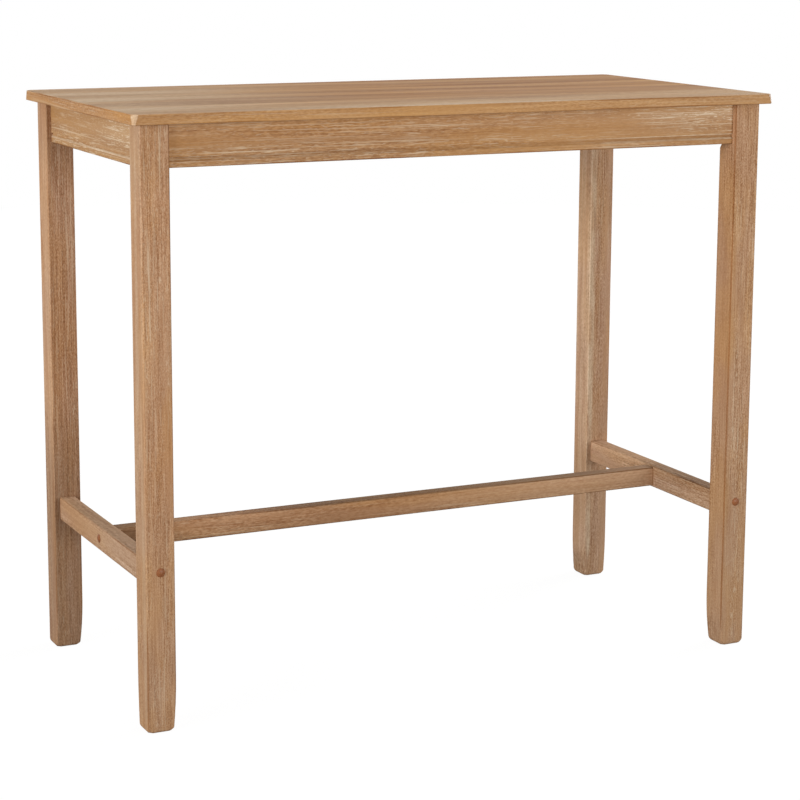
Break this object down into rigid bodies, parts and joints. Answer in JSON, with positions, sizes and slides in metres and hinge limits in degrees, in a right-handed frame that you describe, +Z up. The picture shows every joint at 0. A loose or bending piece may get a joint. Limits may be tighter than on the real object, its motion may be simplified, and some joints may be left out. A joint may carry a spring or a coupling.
{
  "type": "pub table",
  "caption": "Bar-height rectangular wooden pub table: lipped veneered top, grooved aprons, square legs with curved feet and an H of bolted stretchers.",
  "frame": {"origin": "on the floor under the middle of the table", "axes": "+X along the length, +Y from front to back, +Z up"},
  "size_m": [1.245, 0.605, 1.06],
  "materials": {
    "top_wood": "brushed veneer, grey-brown whitewash, satin",
    "underside_wood": "plain balancing veneer, one thin coat",
    "core_board": "raw fibreboard",
    "lipping_wood": "golden tan, satin",
    "apron_wood": "golden tan with whitewashed grain, satin",
    "leg_wood": "pinkish tan with whitewashed grain, satin",
    "stretcher_wood": "pinkish tan with whitewashed grain, satin",
    "inner_wood": "unfinished, sawn and sanded",
    "zinc_steel": "zinc plated",
    "cap_plastic": "moulded, reddish brown, semi-gloss"
  },
  "bodies": {
    "root": {"back_apron": "apron_wood", "back_cleat": "inner_wood", "back_left_corner_block": "inner_wood", "back_left_leg": "leg_wood", "back_lipping": "lipping_wood", "back_right_corner_block": "inner_wood", "back_right_leg": "leg_wood", "cleat_apron_screws": "zinc_steel", "cleat_top_screws": "zinc_steel", "corner_block_screws": "zinc_steel", "front_apron": "apron_wood", "front_cleat": "inner_wood", "front_left_corner_block": "inner_wood", "front_left_leg": "leg_wood", "front_lipping": "lipping_wood", "front_right_corner_block": "inner_wood", "front_right_leg": "leg_wood", "hanger_bolts": "zinc_steel", "hanger_lock_washers": "zinc_steel", "hanger_nuts": "zinc_steel", "hanger_washers": "zinc_steel", "left_apron": "apron_wood", "left_cleat": "inner_wood", "left_end_stretcher": "stretcher_wood", "left_lipping": "lipping_wood", "leg_bolt_caps": "cap_plastic", "leg_joint_barrel_nuts": "zinc_steel", "leg_joint_bolts": "zinc_steel", "leg_joint_dowels": "inner_wood", "leg_joint_washers": "zinc_steel", "long_joint_barrel_nuts": "zinc_steel", "long_joint_bolts": "zinc_steel", "long_joint_dowels": "inner_wood", "long_joint_washers": "zinc_steel", "long_stretcher": "stretcher_wood", "right_apron": "apron_wood", "right_cleat": "inner_wood", "right_end_stretcher": "stretcher_wood", "right_lipping": "lipping_wood", "stretcher_bolt_caps": "cap_plastic", "top_core": "core_board", "top_veneer": "top_wood", "underside_veneer": "underside_wood"}
  },
  "joints": []
}
